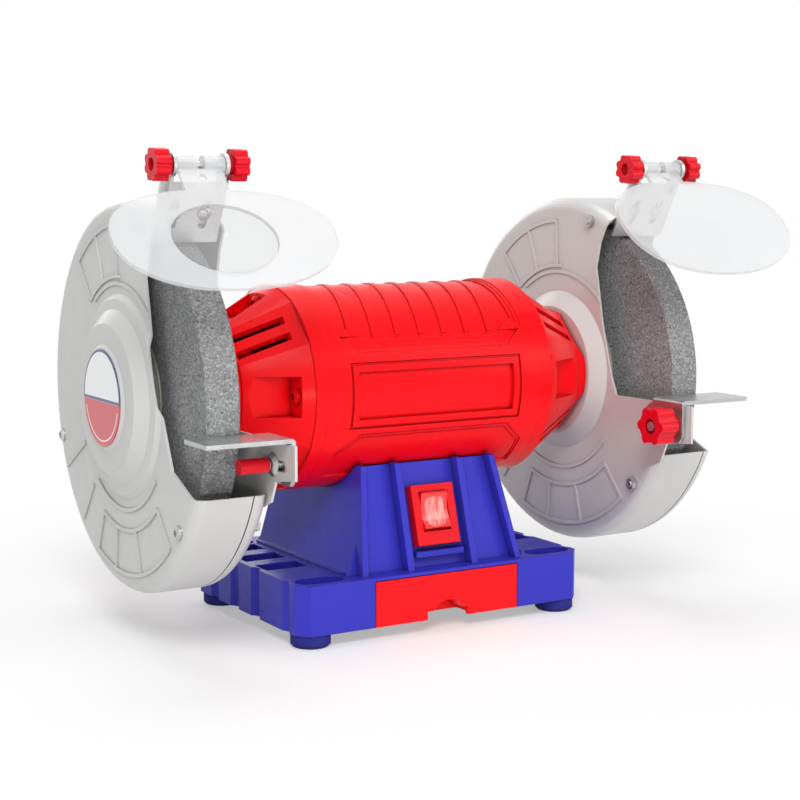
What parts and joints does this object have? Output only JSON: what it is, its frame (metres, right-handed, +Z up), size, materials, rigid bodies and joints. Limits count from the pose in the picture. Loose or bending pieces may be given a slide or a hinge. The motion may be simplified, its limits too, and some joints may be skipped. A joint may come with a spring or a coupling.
{
  "type": "bench grinder",
  "caption": "Bench grinder with a wheel at each end of a motor on a pedestal, wheel guards, eye shields, tool rests and a cooling tray.",
  "frame": {"origin": "centre of the four mounting holes, on the bench surface under the feet", "axes": "+X along the spindle to the user's right, -Y towards the user, +Z up"},
  "size_m": [0.4575, 0.251, 0.2878],
  "materials": {
    "blue_plastic": "satin",
    "red_plastic": "satin",
    "switch_plastic": "gloss",
    "rocker_plastic": "translucent gloss",
    "knob_plastic": "satin",
    "black_plastic": "satin",
    "cream_plastic": "satin",
    "foot_rubber": "matte",
    "red_paint": "satin gloss",
    "painted_screw": "satin gloss",
    "guard_steel": "silver paint, satin",
    "arrester_steel": "zinc, satin",
    "rest_steel": "zinc, satin",
    "zinc_steel": "zinc, satin",
    "screw_steel": "zinc, bright",
    "bearing_steel": "ground",
    "core_steel": "laminated",
    "can_aluminium": "satin",
    "winding_copper": "enamelled copper",
    "blotter_paper": "paper",
    "abrasive": "coarse vitrified grain",
    "label_film": "printed film without text",
    "shield_plastic": "clear plastic, slightly frosted",
    "lens_plastic": "clear plastic, polished"
  },
  "bodies": {
    "frame": {"base_housing": "blue_plastic", "base_plate": "zinc_steel", "base_plate_screws": "screw_steel", "wiring_cover": "zinc_steel", "wiring_cover_screws": "screw_steel", "feet": "foot_rubber", "switch_bezel": "switch_plastic", "cord_gland": "black_plastic", "terminal_block": "cream_plastic", "capacitor": "can_aluminium", "capacitor_clip": "zinc_steel", "motor_shell": "red_paint", "motor_screws": "screw_steel", "left_end_bell": "red_paint", "right_end_bell": "red_paint", "bell_screws": "painted_screw", "stator_core": "core_steel", "stator_windings": "winding_copper", "bearing_outer_rings": "bearing_steel", "wave_washer": "zinc_steel", "left_guard_inner": "guard_steel", "right_guard_inner": "guard_steel", "left_guard_cover": "guard_steel", "right_guard_cover": "guard_steel", "guard_screws": "screw_steel", "cover_screws": "screw_steel", "left_label": "label_film", "arrester_screws": "screw_steel", "tool_rest_bolts": "screw_steel"},
    "spindle": {"bearing_inner_rings": "bearing_steel", "bearing_balls": "bearing_steel", "spindle_shaft": "bearing_steel", "rotor_core": "core_steel", "rotor_cage": "can_aluminium", "inner_flanges": "zinc_steel", "outer_flanges": "zinc_steel", "blotters": "blotter_paper", "arbor_bushings": "black_plastic", "left_wheel": "abrasive", "right_wheel": "abrasive", "spindle_nuts": "screw_steel"},
    "cooling_tray": {"tray": "red_plastic"},
    "rocker": {"switch_rocker": "rocker_plastic"},
    "left_arrester": {"left_arrester": "arrester_steel", "left_hinge_bolt": "screw_steel"},
    "right_arrester": {"right_arrester": "arrester_steel", "right_hinge_bolt": "screw_steel"},
    "left_shield": {"left_shield": "shield_plastic", "left_lens": "lens_plastic"},
    "right_shield": {"right_shield": "shield_plastic"},
    "left_outer_knob": {"left_shield_knob_outer": "knob_plastic"},
    "left_inner_knob": {"left_shield_knob_inner": "knob_plastic"},
    "right_outer_knob": {"right_shield_knob_outer": "knob_plastic"},
    "right_inner_knob": {"right_shield_knob_inner": "knob_plastic"},
    "left_rest": {"left_tool_rest": "rest_steel"},
    "right_rest": {"right_tool_rest": "rest_steel"},
    "left_rest_knob": {"left_rest_knob": "knob_plastic"},
    "right_rest_knob": {"right_rest_knob": "knob_plastic"}
  },
  "joints": [
    {"name": "spindle_spin", "type": "hinge", "parent": "frame", "child": "spindle", "pos_m": [0, 0, 0.146], "axis": [1, 0, 0], "continuous": true},
    {"name": "tray_slide", "type": "slide", "parent": "frame", "child": "cooling_tray", "axis": [0, -1, 0], "range_m": [0, 0.07]},
    {"name": "switch_rock", "type": "hinge", "parent": "frame", "child": "rocker", "pos_m": [0, -0.05524, 0.07033], "axis": [1, 0, 0], "range_deg": [0, 14]},
    {"name": "left_arrester_slide", "type": "slide", "parent": "frame", "child": "left_arrester", "axis": [0, -0.4617, 0.887], "range_m": [-0.002, 0.007]},
    {"name": "left_shield_tilt", "type": "hinge", "parent": "left_arrester", "child": "left_shield", "pos_m": [-0.1605, -0.07029, 0.27886], "axis": [1, 0, 0], "range_deg": [-60, 15]},
    {"name": "left_outer_knob_turn", "type": "hinge", "parent": "left_arrester", "child": "left_outer_knob", "pos_m": [-0.1837, -0.07029, 0.27886], "axis": [1, 0, 0], "range_deg": [0, 360]},
    {"name": "left_inner_knob_turn", "type": "hinge", "parent": "left_arrester", "child": "left_inner_knob", "pos_m": [-0.1373, -0.07029, 0.27886], "axis": [1, 0, 0], "range_deg": [0, 360]},
    {"name": "left_rest_slide", "type": "slide", "parent": "frame", "child": "left_rest", "axis": [0, -1, 0], "range_m": [0, 0.009]},
    {"name": "left_rest_knob_turn", "type": "hinge", "parent": "frame", "child": "left_rest_knob", "pos_m": [-0.147, -0.11, 0.118], "axis": [1, 0, 0], "range_deg": [0, 360]},
    {"name": "right_arrester_slide", "type": "slide", "parent": "frame", "child": "right_arrester", "axis": [0, -0.4617, 0.887], "range_m": [-0.002, 0.007]},
    {"name": "right_shield_tilt", "type": "hinge", "parent": "right_arrester", "child": "right_shield", "pos_m": [0.1605, -0.07029, 0.27886], "axis": [1, 0, 0], "range_deg": [-60, 15]},
    {"name": "right_outer_knob_turn", "type": "hinge", "parent": "right_arrester", "child": "right_outer_knob", "pos_m": [0.1837, -0.07029, 0.27886], "axis": [1, 0, 0], "range_deg": [0, 360]},
    {"name": "right_inner_knob_turn", "type": "hinge", "parent": "right_arrester", "child": "right_inner_knob", "pos_m": [0.1373, -0.07029, 0.27886], "axis": [1, 0, 0], "range_deg": [0, 360]},
    {"name": "right_rest_slide", "type": "slide", "parent": "frame", "child": "right_rest", "axis": [0, -1, 0], "range_m": [0, 0.018]},
    {"name": "right_rest_knob_turn", "type": "hinge", "parent": "frame", "child": "right_rest_knob", "pos_m": [0.115, -0.122, 0.1225], "axis": [1, 0, 0], "range_deg": [0, 360]}
  ]
}
